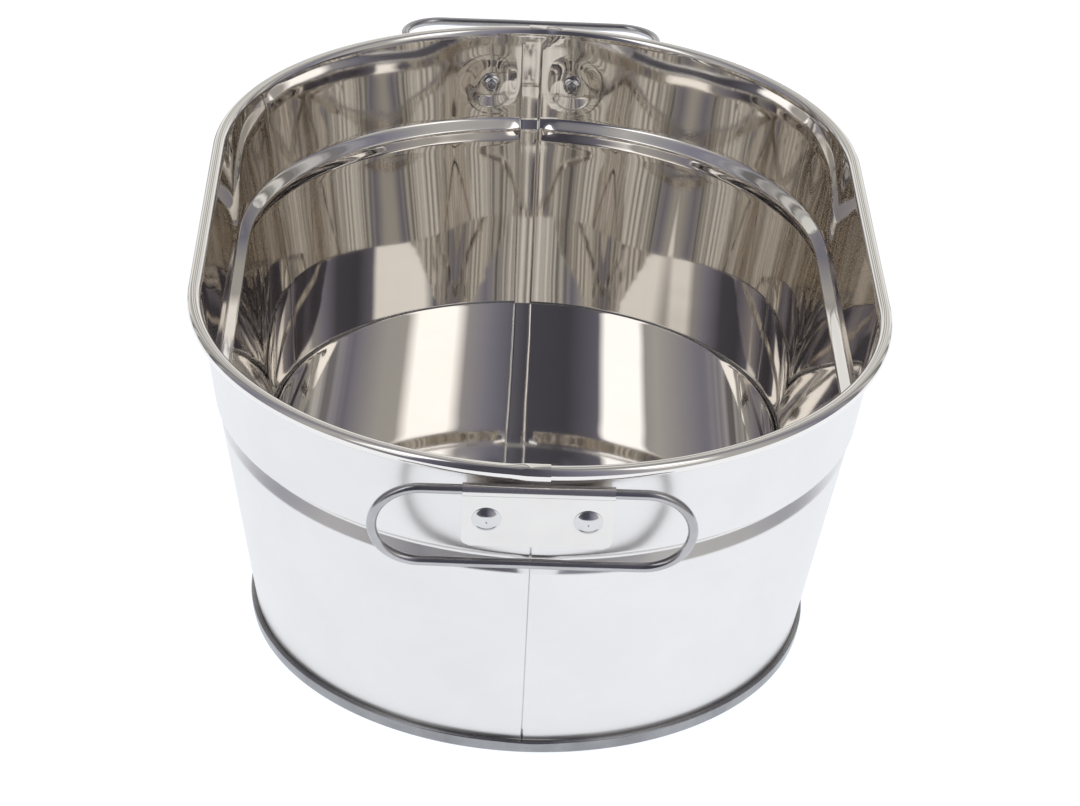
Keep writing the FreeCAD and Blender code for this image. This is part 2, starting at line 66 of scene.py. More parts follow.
# hinges and ear plates
LEAN = math.atan2(RIM_FOOT - BEAD_TOP[0], CURL_HEIGHT - BEAD_TOP[1])
EAR_ACROSS = {"front": -1.5, "rear": -0.7}
EAR_HALF = 29.5
EAR_DROP = 29.2
EAR_CORNER = 4.0
EAR_LEAF = 0.6
BARREL_BORE = 2.08
RIVET_ACROSS = 19.8
RIVET_DROP = 16.0
RIVET_LEVEL = 123.8
HANDLE_RADIUS = 2.0
HANDLE_REACH = 38.0
HANDLE_HALF_BAR = 43.5
HANDLE_SWING = {"front": -11.0, "rear": 86.5}
HANDLE_SLIDE = {"front": -1.8, "rear": 0.8}


# ------------------------------------------------------------------ numbers

def smooth(x, low, high):
    """0 below low, 1 above high and a soft step between them."""
    t = np.clip((np.asarray(x, float) - low) / (high - low), 0.0, 1.0)
    return t * t * (3 - 2 * t)


def field(u, v, scale_u, scale_v, seed):
    """Smooth noise over two coordinates, about -1 to 1."""
    u, v = np.broadcast_arrays(np.asarray(u, float), np.asarray(v, float))
    out = np.empty(u.size)
    for k, (a, b) in enumerate(zip(u.ravel(), v.ravel())):
        out[k] = noise.noise(Vector((a / scale_u, b / scale_v, seed)))
    return out.reshape(u.shape)


def fillet(corners, radii, steps):
    """A polyline with its inner corners rounded; each corner gets steps points."""
    points = [np.array(corners[0], float)]
    for before, corner, after, radius in zip(corners, corners[1:], corners[2:], radii):
        before, corner, after = (np.array(p, float) for p in (before, corner, after))
        one, two = before - corner, after - corner
        one, two = one / np.linalg.norm(one), two / np.linalg.norm(two)
        half = math.acos(max(-1.0, min(1.0, float(one @ two)))) / 2
        reach = radius / math.tan(half)
        centre = corner + (one + two) / np.linalg.norm(one + two) * radius / math.sin(half)
        start, stop = corner + one * reach - centre, corner + two * reach - centre
        swing = math.atan2(start[0] * stop[1] - start[1] * stop[0], float(start @ stop))
        for k in range(steps):
            angle = swing * k / (steps - 1)
            turn = np.array([[math.cos(angle), -math.sin(angle)], [math.sin(angle), math.cos(angle)]])
            points.append(centre + turn @ start)
    points.append(np.array(corners[-1], float))
    return np.array(points)


def subdivide(points, longest):
    """Add points to the long runs of a polyline; longest is one length per run."""
    out = [points[0]]
    for a, b in zip(points, points[1:]):
        count = max(1, int(math.ceil(np.linalg.norm(b - a) / longest)))
        out += [a + (b - a) * k / count for k in range(1, count + 1)]
    return np.array(out)


# ------------------------------------------------------------------- meshes

def mesh_object(name, points, faces, materials, slots=None, sharp=38.0):
    """A smooth-shaded mesh from points in millimetres."""
    mesh = bpy.data.meshes.new(name)
    mesh.from_pydata((np.asarray(points, float) * MM).tolist(), [], faces)
    for material in materials:
        mesh.materials.append(material)
    if slots is not None:
        mesh.polygons.foreach_set("material_index", slots)
    mesh.validate()
    mesh.shade_smooth()
    mesh.set_sharp_from_angle(angle=math.radians(sharp))
    thing = bpy.data.objects.new(name, mesh)
    bpy.context.scene.collection.objects.link(thing)
    return thing


def grid_normals(grid, wrap=False):
    """Unit normals of a grid of points, (columns, rows, 3)."""
    if wrap:
        along = np.roll(grid, -1, 0) - np.roll(grid, 1, 0)
    else:
        along = np.gradient(grid, axis=0)
    up = np.gradient(grid, axis=1)
    normal = np.cross(along, up)
    size = np.linalg.norm(normal, axis=2, keepdims=True)
    return normal / np.maximum(size, 1e-12)


def thick_sheet(name, grid, mask, thickness, materials, wrap=False, sharp=38.0):
    """A sheet of the given thickness on a grid of middle points.

    mask says which cells exist.  The side that the normals point to takes the
    first material, the other side the second, and the cut edges the third.
    """
    columns, rows = grid.shape[:2]
    normal = grid_normals(grid, wrap)
    half = thickness / 2
    points = np.concatenate([(grid + normal * half).reshape(-1, 3), (grid - normal * half).reshape(-1, 3)])
    other = columns * rows
    cells = columns if wrap else columns - 1
    faces, slots = [], []
    edges = {}
    for i in range(cells):
        j = (i + 1) % columns
        for k in range(rows - 1):
            if not mask[i, k]:
                continue
            a, b, c, d = i * rows + k, j * rows + k, j * rows + k + 1, i * rows + k + 1
            faces.append((a, b, c, d))
            faces.append((d + other, c + other, b + other, a + other))
            slots += [0, 1]
            for edge in ((a, b), (b, c), (c, d), (d, a)):
                if edge[::-1] in edges:
                    del edges[edge[::-1]]
                else:
                    edges[edge] = True
    for a, b in edges:
        faces.append((b, a, a + other, b + other))
        slots.append(2)
    used = sorted({v for face in faces for v in face})
    number = {v: k for k, v in enumerate(used)}
    faces = [tuple(number[v] for v in face) for face in faces]
    last = len(materials) - 1
    return mesh_object(name, points[used], faces, materials, [min(s, last) for s in slots], sharp)


def tube(name, path, radius, materials, sides=20, ends=True):
    """A round wire along a path of points, without twist."""
    path = np.asarray(path, float)
    along = np.gradient(path, axis=0)
    along /= np.linalg.norm(along, axis=1, keepdims=True)
    side = np.cross(along[0], (0.0, 0.0, 1.0))
    if np.linalg.norm(side) < 1e-3:
        side = np.cross(along[0], (0.0, 1.0, 0.0))
    points, faces = [], []
    for k, (place, way) in enumerate(zip(path, along)):
        side = side - way * (side @ way)
        side /= np.linalg.norm(side)
        up = np.cross(way, side)
        for n in range(sides):
            angle = 2 * math.pi * n / sides
            points.append(place + radius * (math.cos(angle) * side + math.sin(angle) * up))
        if k:
            for n in range(sides):
                m = (n + 1) % sides
                faces.append(((k - 1) * sides + n, (k - 1) * sides + m, k * sides + m, k * sides + n))
    if ends:
        faces.append(tuple(reversed(range(sides))))
        faces.append(tuple(range((len(path) - 1) * sides, len(path) * sides)))
    return mesh_object(name, points, faces, materials)


def lathe(name, section, matrix, materials, sides=40):
    """Turn an open section of (radius, height) about the local Z axis."""
    points, faces = [], []
    for radius, height in section:
        for n in range(sides):
            angle = 2 * math.pi * n / sides
            points.append((radius * math.cos(angle), radius * math.sin(angle), height))
    for k in range(len(section) - 1):
        for n in range(sides):
            m = (n + 1) % sides
            faces.append((k * sides + n, k * sides + m, (k + 1) * sides + m, (k + 1) * sides + n))
    faces.append(tuple(reversed(range(sides))))
    faces.append(tuple(range((len(section) - 1) * sides, len(section) * sides)))
    thing = mesh_object(name, points, faces, materials)
    thing.data.transform(matrix)
    return thing


# ------------------------------------------------------------ wall of the tub

def low_line(z):
    return BASE_RADIUS + LOW_SLOPE * z


def wall_profile(depth):
    """Middle of the wall from the bottom seam to the foot of the rim curl.

    depth is 1 for the full bead and less where the seams flatten it.  The
    points are the same in number for every depth.
    """
    low, high = (low_line(BEAD_FOOT), BEAD_FOOT), BEAD_TOP
    corners = [(low_line(1.2), 1.2), low]
    for radius, level in (BEAD_LOW, BEAD_HIGH):
        flat = low[0] + (high[0] - low[0]) * (level - low[1]) / (high[1] - low[1])
        corners.append((flat + (radius - flat) * depth, level))
    corners += [high, (RIM_FOOT, CURL_HEIGHT)]
    points = fillet(corners, (3.0, 0.6, 0.8, 2.0), 7)
    points[:, 0] -= SHEET / 2
    return points


def profile_rows():
    """Wall and curl together: full bead, flattened bead, and curl angles."""
    full, flat = wall_profile(1.0), wall_profile(BEAD_AT_SEAM)
    rows_full, rows_flat = [full[0]], [flat[0]]
    for k in range(1, len(full)):
        span = np.linalg.norm(full[k] - full[k - 1])
        longest = 2.6 if full[k][1] < BEAD_FOOT else 1.6
        count = max(1, int(math.ceil(span / longest)))
        for n in range(1, count + 1):
            rows_full.append(full[k - 1] + (full[k] - full[k - 1]) * n / count)
            rows_flat.append(flat[k - 1] + (flat[k] - flat[k - 1]) * n / count)
    angles = np.linspace(180.0, CURL_END, 38)[1:]
    return np.array(rows_full), np.array(rows_flat), angles


def shell_columns():
    """Columns of the left half, from the hidden hook at the front to the one at
    the rear: (end, distance round the end, layer) with layer naming the sheet's
    place in the seam and distance counted from the middle towards the left."""
    columns = [("front", -d, "hook") for d in np.linspace(1.0, COVER_EDGE, 4)[:-1]]
    columns += [("front", -COVER_EDGE, ("front_turn", t)) for t in np.linspace(180, 0, 9)]
    columns += [("front", -d, "wall") for d in np.linspace(COVER_EDGE, -2.2, 9)[1:]]
    columns += [("front", d, "wall") for d in np.linspace(2.2, 8.6, 26)[1:]]
    quarter = math.pi / 2 * ARC_REFERENCE
    columns += [("front", d, "wall") for d in np.linspace(8.6, quarter, 74)[1:]]
    columns += [("side", y, "wall") for y in np.linspace(-HALF_STRAIGHT, HALF_STRAIGHT, 40)[1:-1]]
    columns += [("rear", d, "wall") for d in np.linspace(quarter, 8.6, 74)]
    columns += [("rear", d, "wall") for d in np.linspace(8.6, -2.65, 14)[1:]]
    columns += [("rear", -2.65, ("rear_turn", t)) for t in np.linspace(0, 180, 9)[1:]]
    columns += [("rear", d, "return") for d in np.linspace(-2.65, 4.6, 4)[1:]]
    return columns


def place_columns(columns):
    """For each column: its centre line, its outward direction and its distance
    along the wall."""
    centres, ways, runs = [], [], []
    quarter = math.pi / 2 * ARC_REFERENCE
    for end, at, layer in columns:
        if end == "side":
            centres.append((0.0, at))
            ways.append((-1.0, 0.0))
            runs.append(quarter + at + HALF_STRAIGHT)
            continue
        shift = 0.0
        if isinstance(layer, tuple):
            shift = SEAM_PITCH * math.sin(math.radians(layer[1]))
        angle = (at - shift) / ARC_REFERENCE
        front = end == "front"
        centres.append((0.0, -HALF_STRAIGHT if front else HALF_STRAIGHT))
        ways.append((-math.sin(angle), -math.cos(angle) if front else math.cos(angle)))
        runs.append(at if front else 2 * quarter + 2 * HALF_STRAIGHT - at)
    return np.array(centres), np.array(ways), np.array(runs)


def seam_offset(columns, height, curl):
    """How far each point lies inside the plain wall because of the seams."""
    offset = np.zeros((len(columns), len(height)))
    pressed = 1 - 2 / 3 * smooth(height, 118.0, 146.0)
    lower, upper = 3.0 + 2.0 * curl, 3.9 + 8.6 * curl
    for k, (end, at, layer) in enumerate(columns):
        if end == "front" and layer == "wall":
            offset[k] = COVER_DEPTH * (1 - smooth(at, lower, upper))
        elif layer == "hook":
            offset[k] = SEAM_PITCH
        elif layer == "return":
            offset[k] = 2 * SEAM_PITCH
        elif isinstance(layer, tuple) and layer[0] == "front_turn":
            offset[k] = COVER_DEPTH - SEAM_PITCH + SEAM_PITCH * math.cos(math.radians(layer[1]))
        elif isinstance(layer, tuple):
            offset[k] = SEAM_PITCH - SEAM_PITCH * math.cos(math.radians(layer[1]))
    return offset * pressed


def wall_waves(run, height, seed):
    """The unevenness of hand-rolled sheet: flutes near the turns, broad swells."""
    run, height = run[:, None], height[None, :]
    quarter = math.pi / 2 * ARC_REFERENCE
    front_turn = np.exp(-((run - quarter + 12) / 55) ** 2)
    rear_turn = np.exp(-((run - quarter - 2 * HALF_STRAIGHT - 12) / 55) ** 2)
    upper = smooth(height, 108, 122)
    low = smooth(height, 14, 30) * (1 - smooth(height, 84, 93))
    swell = 0.10 * field(run, height, 95, 70, seed) * (upper + low)
    flutes = 0.16 * field(run, height, 26, 85, seed + 3.7) * (front_turn + rear_turn) * (0.6 * low + upper)
    ripple = 0.05 * field(run, height, 21, 30, seed + 9.1) * upper
    return swell + flutes + ripple


def dimples(run, height, rivets):
    """The sheet pulled out towards the flat ear plate round each rivet."""
    pull = np.zeros((len(run), len(height)))
    for at in rivets:
        away = np.hypot(run[:, None] - at, height[None, :] - RIVET_LEVEL)
        pull += 0.60 * (1 - smooth(away, 5.0, 15.0))
    return pull


def shell_points(columns, rivets, seed):
    """Middle points of one half shell, (columns, rows, 3), and its levels."""
    full, flat, angles = profile_rows()
    centres, ways, runs = place_columns(columns)
    total = math.pi * ARC_REFERENCE + 2 * HALF_STRAIGHT
    to_seam = np.minimum(np.abs(runs), np.abs(total - runs))
    pressed = smooth(to_seam, 4.5, 13.0)[:, None]
    radius = flat[None, :, 0] + (full - flat)[None, :, 0] * pressed
    height = np.broadcast_to(flat[None, :, 1] + (full - flat)[None, :, 1] * pressed, radius.shape)
    level = full[:, 1]
    offset = seam_offset(columns, level, smooth(level, 141.0, 148.0))
    radius = radius - offset + wall_waves(runs, level, seed) * smooth(to_seam, 3, 22)[:, None]
    radius = radius + dimples(runs, level, rivets) * smooth(to_seam, 6, 9)[:, None]

    curl = np.ones(len(angles))
    lap = seam_offset(columns, np.full(len(angles), 150.0), curl)
    at_front = np.array([end == "front" for end, _, _ in columns])
    rolled = CURL_RADIUS + np.where(at_front[:, None], lap, 0.0)
    lip = 0.8 * (1 - smooth(runs, -2.6, 3.0))[:, None] * (1 - smooth(angles, -132.0, -80.0))[None, :]
    rolled = rolled + np.where(at_front[:, None], lip, 0.0)
    bend = np.radians(angles)[None, :]
    curl_r = RIM_MIDDLE + rolled * np.cos(bend)
    curl_z = CURL_HEIGHT + rolled * np.sin(bend)

    radius = np.concatenate([radius, curl_r], axis=1)
    height = np.concatenate([height, curl_z], axis=1)
    plan = centres[:, None, :] + ways[:, None, :] * radius[:, :, None]
    levels = np.concatenate([level, 148.0 + np.arange(1, len(angles) + 1)])
    return np.concatenate([plan, height[:, :, None]], axis=2), levels


def shell_mask(columns, levels):
    """Which cells of the half shell's grid are sheet."""
    middle = (levels[1:] + levels[:-1]) / 2
    mask = np.ones((len(columns) - 1, len(levels) - 1), bool)
    folds = (middle > FOLD_FOOT) & (middle < FOLD_TOP)
    for k in range(len(columns) - 1):
        here, after = columns[k], columns[k + 1]
        wall = here[2] == "wall" and after[2] == "wall"
        if not wall:
            mask[k] = folds
        elif here[0] == "front" and here[1] < -LAP_END:
            mask[k] = (middle > FOLD_FOOT) & (middle < LAP_FOOT)
        elif here[0] == "front" and here[1] < 3.3:
            mask[k] = middle > FOLD_FOOT
    return mask


def half_shell(node, turned, rivets, seed, materials):
    columns = shell_columns()
    grid, levels = shell_points(columns, rivets, seed)
    shell = thick_sheet(node + "_sheet", grid, shell_mask(columns, levels), SHEET, materials)
    if turned:
        shell.data.transform(Matrix.Rotation(math.pi, 4, "Z"))
    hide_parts(node)
    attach(shell, "tub")
    return shell


# --------------------------------------------------------------------- the pan

def round_columns():
    """Columns all round the tub, closed."""
    columns = []
    for k in range(104):
        angle = math.pi * k / 104
        columns.append(((0.0, HALF_STRAIGHT), (math.cos(angle), math.sin(angle))))
    for y in np.linspace(HALF_STRAIGHT, -HALF_STRAIGHT, 34)[:-1]:
        columns.append(((0.0, y), (-1.0, 0.0)))
    for k in range(104):
        angle = math.pi + math.pi * k / 104
        columns.append(((0.0, -HALF_STRAIGHT), (math.cos(angle), math.sin(angle))))
    for y in np.linspace(-HALF_STRAIGHT, HALF_STRAIGHT, 34)[:-1]:
        columns.append(((0.0, y), (1.0, 0.0)))
    return columns


def pan_profile():
    """Middle of the pan's sheet: floor, wall, and the folds of the bottom seam."""
    inner = low_line(0.0) - 0.75
    outer = 117.5 + 2.7 - 0.25
    half = SHEET / 2
    corners = [
        (0.001, FLOOR_TOP - half), (low_line(12.0) - 0.75, FLOOR_TOP - half), (inner, half),
        (outer - 0.1, half), (outer + 0.35, 2.6), (outer + 0.75, SEAM_HEIGHT - half),
        (outer - 1.4, SEAM_HEIGHT - half), (outer - 1.7, 1.6),
    ]
    points = fillet(corners, (1.5, 0.8, 0.9, 4.0, 0.7, 0.55), 7)
    spread = [points[0]]
    for a, b in zip(points, points[1:]):
        longest = 5.0 if b[1] > 11 and b[0] < 116.5 else 1.6
        count = max(1, int(math.ceil(np.linalg.norm(b - a) / longest)))
        spread += [a + (b - a) * k / count for k in range(1, count + 1)]
    return np.array(spread)


def bottom_pan(materials):
    profile = pan_profile()
    columns = round_columns()
    centres = np.array([c for c, _ in columns])
    ways = np.array([w for _, w in columns])
    plan = centres[:, None, :] + ways[:, None, :] * profile[None, :, :1]
    height = np.broadcast_to(profile[None, :, 1], plan.shape[:2]).copy()
    floor = (profile[:, 1] > 11.5) & (profile[:, 0] < 114)
    inward = smooth(114 - profile[:, 0], 0, 30)
    swell = 0.16 * field(plan[..., 0], plan[..., 1], 70, 90, 5.0)
    swell += 0.05 * field(plan[..., 0], plan[..., 1], 26, 40, 8.0)
    height += np.where(floor, swell * inward, 0.0)
    near = np.exp(-((plan[..., 0] + 2.0 * np.sign(plan[..., 1])) / 9.0) ** 2)
    ring = (profile[:, 0] > 118.5)[None, :] & (np.abs(plan[..., 1]) > 150)
    height -= np.where(ring & (profile[:, 1] > 3.0)[None, :], 0.45 * near, 0.0)
    grid = np.concatenate([plan, height[:, :, None]], axis=2)
    mask = np.ones((len(columns), len(profile) - 1), bool)
    pan = thick_sheet("bottom_pan_sheet", grid, mask, SHEET, materials[:3], wrap=True)
    # faces outside the base line, the chime, take the fourth steel, whose dark colour is painted shade
    pan.data.materials.append(materials[3])
    for face in pan.data.polygons:
        x, y, _ = face.center / MM
        if math.hypot(x, max(abs(y) - HALF_STRAIGHT, 0.0)) > BASE_RADIUS + 0.2:
            face.material_index = 3
    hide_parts("bottom_pan")
    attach(pan, "tub")
    return pan


# --------------------------------------------------- ear plates and fastenings

def hinge_matrix(word, swing):
    """From a frame hanging at the front hinge to the object's own frame, in
    metres, with the hinge's place taken from the record."""
    joint = next(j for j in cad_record["behaviour"]["joints"] if j["child"] == f"{word}_handle")
    base = Vector(joint["pos_m"])
    base.x = EAR_ACROSS[word] * MM
    around = Matrix.Rotation(0.0 if word == "front" else math.pi, 4, "Z")
    tilt = Matrix.Rotation(math.radians(-swing), 4, "X")
    return Matrix.Translation(base) @ around @ tilt


def ear_plate(word, materials):
    """A strip folded round the handle wire, with both leaves against the wall."""
    middle = BARREL_BORE + EAR_LEAF / 2
    path = [(middle, -EAR_DROP + k * EAR_DROP / 24) for k in range(24)]
    path += [(middle * math.cos(a), middle * math.sin(a)) for a in np.radians(np.linspace(0, 300, 44))]
    front = middle - EAR_LEAF - 0.01
    bend = fillet([path[-1], (front - 0.35, -2.35), (front, -4.2), (front, -EAR_DROP)], (0.8, 1.6), 5)
    path += [tuple(p) for p in subdivide(bend[1:], 1.3)]
    path = np.array(path)

    level = -path[:, 1]
    into = np.clip(level - (EAR_DROP - EAR_CORNER), 0, EAR_CORNER - 0.02)
    half = EAR_HALF - (EAR_CORNER - np.sqrt(EAR_CORNER ** 2 - into ** 2))
    across = np.linspace(-1, 1, 61)
    x = across[:, None] * half[None, :]
    y = np.broadcast_to(path[None, :, 0], x.shape).copy()
    z = np.broadcast_to(path[None, :, 1], x.shape).copy()
    is_front = np.arange(len(path)) > 24 + 44
    for side in (-1, 1):
        away = np.hypot(x - side * RIVET_ACROSS, z + RIVET_DROP)
        y += np.where(is_front, 0.14 * (1 - smooth(away, 5.6, 8.5)), 0.0)
    y += np.where(is_front, -0.10 * smooth(level, 18, 30) * np.abs(across[:, None]), 0.0)
    grid = np.stack([x, y, z], axis=2)
    mask = np.ones((len(across) - 1, len(path) - 1), bool)
    plate = thick_sheet(f"{word}_ear_strip", grid, mask, EAR_LEAF - 0.02, materials)
    plate.data.transform(hinge_matrix(word, -math.degrees(LEAN)))
    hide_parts(f"{word}_ear_plate")
    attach(plate, "tub")
    return plate


def rivet_matrix(word, side):
    hang = hinge_matrix(word, -math.degrees(LEAN))
    face = BARREL_BORE - EAR_LEAF
    local = Vector((side * RIVET_ACROSS, face + 0.1, -RIVET_DROP)) * MM
    return hang @ Matrix.Translation(local) @ Matrix.Rotation(math.pi / 2, 4, "X")


def blind_rivet(word, hand, side, steel, dark):
    """A hollow rivet with a domed head and, inside the tub, its set end."""
    head = [
        (0.20, 1.50), (0.28, 1.66), (0.42, 1.76), (0.7, 1.84), (1.1, 1.84), (1.7, 1.75), (2.4, 1.60),
        (3.1, 1.38), (3.8, 1.08), (4.4, 0.76), (4.9, 0.46), (5.25, 0.27), (5.6, 0.20), (5.80, 0.12),
        (5.82, 0.0),
    ]
    shank = [
        (3.2, -0.05), (3.2, -2.9), (3.35, -3.05), (4.1, -3.15), (4.25, -3.5), (4.15, -4.6), (3.9, -5.6),
        (3.45, -6.5), (2.95, -7.15), (2.55, -7.45), (1.9, -7.5), (1.35, -7.3), (1.25, -6.6),
    ]
    body = lathe(f"{word}_{hand}_rivet_body", head + shank, rivet_matrix(word, side), [steel])
    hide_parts(f"{word}_{hand}_rivet")
    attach(body, "tub")

    pin = [
        (0.05, 1.02), (0.7, 0.98), (1.05, 0.86), (1.22, 0.7), (1.22, -7.35), (1.5, -7.55), (1.95, -7.7),
        (2.0, -8.1), (1.75, -8.5), (1.2, -8.8), (0.5, -8.92), (0.05, -8.93),
    ]
    stem = lathe(f"{word}_{hand}_stem_pin", pin, rivet_matrix(word, side), [dark], 28)
    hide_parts(f"{word}_{hand}_rivet_stem")
    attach(stem, "tub")


def wire_handle(word, materials):
    """A drop handle bent from wire; its two ends meet inside the barrel."""
    bend = HANDLE_REACH / 2
    path = [(0.4 + k * (HANDLE_HALF_BAR - 0.4) / 12, 0.0) for k in range(12)]
    path += [
        (HANDLE_HALF_BAR + bend * math.sin(a), -bend + bend * math.cos(a))
        for a in np.radians(np.linspace(0, 180, 41))
    ]
    path += [(HANDLE_HALF_BAR - 2 * HANDLE_HALF_BAR * k / 24, -HANDLE_REACH) for k in range(1, 24)]
    path += [
        (-HANDLE_HALF_BAR - bend * math.sin(a), -bend - bend * math.cos(a))
        for a in np.radians(np.linspace(0, 180, 41))
    ]
    path += [(-HANDLE_HALF_BAR + k * (HANDLE_HALF_BAR - 0.4) / 12, 0.0) for k in range(1, 13)]
    points = []
    for x, z in path:
        free = float(smooth(-z, 2.0, 12.0))
        points.append((
            x + HANDLE_SLIDE[word],
            0.22 * free * noise.noise(Vector((x / 30, z / 30, 2.0))),
            z + 0.18 * free * noise.noise(Vector((x / 26, 7.0, z / 30))),
        ))
    wire = tube(f"{word}_handle_wire", points, HANDLE_RADIUS, materials, sides=24)
    wire.data.transform(hinge_matrix(word, HANDLE_SWING[word]))
    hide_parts(f"{word}_handle")
    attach(wire, f"{word}_handle")
    return wire


# ------------------------------------------------------------------- materials

class Nodes:
    """A small helper for building one node tree."""

    def __init__(self, tree):
        self.tree = tree

    def add(self, kind, inputs=None, **settings):
        node = self.tree.nodes.new(kind)
        for key, value in settings.items():
            setattr(node, key, value)
        for key, value in (inputs or {}).items():
            if isinstance(value, bpy.types.NodeSocket):
                self.tree.links.new(value, node.inputs[key])
            else:
                node.inputs[key].default_value = value
        return node

    def math(self, operation, a, b=0.0, c=0.0, clamp=False):
        node = self.add("ShaderNodeMath", {0: a, 1: b, 2: c}, operation=operation)
        node.use_clamp = clamp
        return node.outputs[0]

    def ramp(self, factor, stops, smooth_steps=False):
        node = self.add("ShaderNodeValToRGB", {"Fac": factor})
        ramp = node.color_ramp
        ramp.interpolation = "EASE" if smooth_steps else "LINEAR"
        for place, _ in stops[1:-1]:
            ramp.elements.new(place)
        for element, (place, colour) in zip(ramp.elements, stops):
            element.position = place
            element.color = (*colour, 1.0)
        return node.outputs["Color"]

    def mix(self, factor, one, two):
        node = self.add("ShaderNodeMix", data_type="RGBA")
        for socket, value in ((node.inputs[0], factor), (node.inputs[6], one), (node.inputs[7], two)):
            if isinstance(value, bpy.types.NodeSocket):
                self.tree.links.new(value, socket)
            elif socket == node.inputs[0]:
                socket.default_value = value
            else:
                socket.default_value = (*value, 1.0)
        return node.outputs[2]


def steel(name, colour, shade, roughness, rough_spread, grain, grain_scale, bump):
    """Stainless steel: cloudy tint, uneven gloss and fine grain lines."""
    material = bpy.data.materials.new(name)
    material.use_nodes = True
    tree = material.node_tree
    tree.nodes.clear()
    n = Nodes(tree)
    place = n.add("ShaderNodeTexCoord").outputs["Object"]
    cloud = n.add("ShaderNodeTexNoise", {"Vector": place, "Scale": 34.0, "Detail": 4.0, "Roughness": 0.6})
    tint = n.ramp(cloud.outputs["Fac"], [(0.30, shade), (0.68, colour)])
    stretched = n.add("ShaderNodeMapping", {"Vector": place, "Scale": grain_scale})
    lines = n.add("ShaderNodeTexNoise", {
        "Vector": stretched.outputs[0], "Scale": 1.0, "Detail": 6.0, "Roughness": 0.7,
    })
    smudge = n.add("ShaderNodeTexNoise", {"Vector": place, "Scale": 17.0, "Detail": 5.0, "Roughness": 0.65})
    wear = n.math("MULTIPLY_ADD", smudge.outputs["Fac"], rough_spread, roughness - 0.5 * rough_spread)
    gloss = n.math("MULTIPLY_ADD", lines.outputs["Fac"], grain, wear)
    gloss = n.math("MAXIMUM", gloss, 0.012)
    relief = n.add("ShaderNodeBump", {"Height": lines.outputs["Fac"], "Strength": bump, "Distance": 0.00002})
    shader = n.add("ShaderNodeBsdfPrincipled", {
        "Metallic": 1.0, "Base Color": tint, "Roughness": gloss, "Normal": relief.outputs[0],
    })
    n.add("ShaderNodeOutputMaterial", {"Surface": shader.outputs[0]})
    return material


def compound(name, colour, shade):
    """Sealing compound: matt, slightly mottled."""
    material = bpy.data.materials.new(name)
    material.use_nodes = True
    material.node_tree.nodes.clear()
    n = Nodes(material.node_tree)
    place = n.add("ShaderNodeTexCoord").outputs["Object"]
    cloud = n.add("ShaderNodeTexNoise", {"Vector": place, "Scale": 420.0, "Detail": 4.0})
    tint = n.ramp(cloud.outputs["Fac"], [(0.35, shade), (0.65, colour)])
    relief = n.add("ShaderNodeBump", {"Height": cloud.outputs["Fac"], "Strength": 0.4, "Distance": 0.0002})
    shader = n.add("ShaderNodeBsdfPrincipled", {
        "Base Color": tint, "Roughness": 0.6, "Normal": relief.outputs[0],
    })
    n.add("ShaderNodeOutputMaterial", {"Surface": shader.outputs[0]})
    return material


# -------------------------------------------------------------- studio and view

def card(n, place, az, el, az_half, el_half, soft):
    """A soft-edged rectangle in the directions of the sky, in degrees."""
    azimuth, elevation = place
    off = n.math("ABSOLUTE", n.math("SUBTRACT", azimuth, az))
    high = n.math("ABSOLUTE", n.math("SUBTRACT", elevation, el))
    wide = n.math("DIVIDE", n.math("SUBTRACT", az_half, off), soft, clamp=True)
    tall = n.math("DIVIDE", n.math("SUBTRACT", el_half, high), soft, clamp=True)
    return n.math("MULTIPLY", wide, tall)


CARDS = [
    # azimuth from the front, elevation, half width, half height, edge, colour
    (0, 84, 180, 14, 10, (0.30, 0.30, 0.31)),
    (-51, 49, 13, 17, 4, (1.62, 1.64, 1.68)),
    (48, 48, 17, 17, 7, (1.60, 1.60, 1.62)),
    (-51, 24, 13, 10, 5, (1.15, 1.15, 1.15)),
    (46, 24, 14, 10, 7, (1.10, 1.09, 1.08)),
    (180, 8, 40, 10, 8, (0.98, 0.98, 0.98)),
    (-180, 8, 40, 10, 8, (0.98, 0.98, 0.98)),
]

# brightness of the room, by azimuth from the rear, round over the left
ROOM = [
    (-180, 0.76), (-150, 0.62), (-128, 0.44), (-98, 0.24), (-70, 0.50), (-40, 0.18), (-22, 0.075),
    (0, 0.09), (18, 0.26), (40, 0.50), (76, 0.46), (97, 0.22), (122, 0.46), (150, 0.68), (180, 0.76),
]


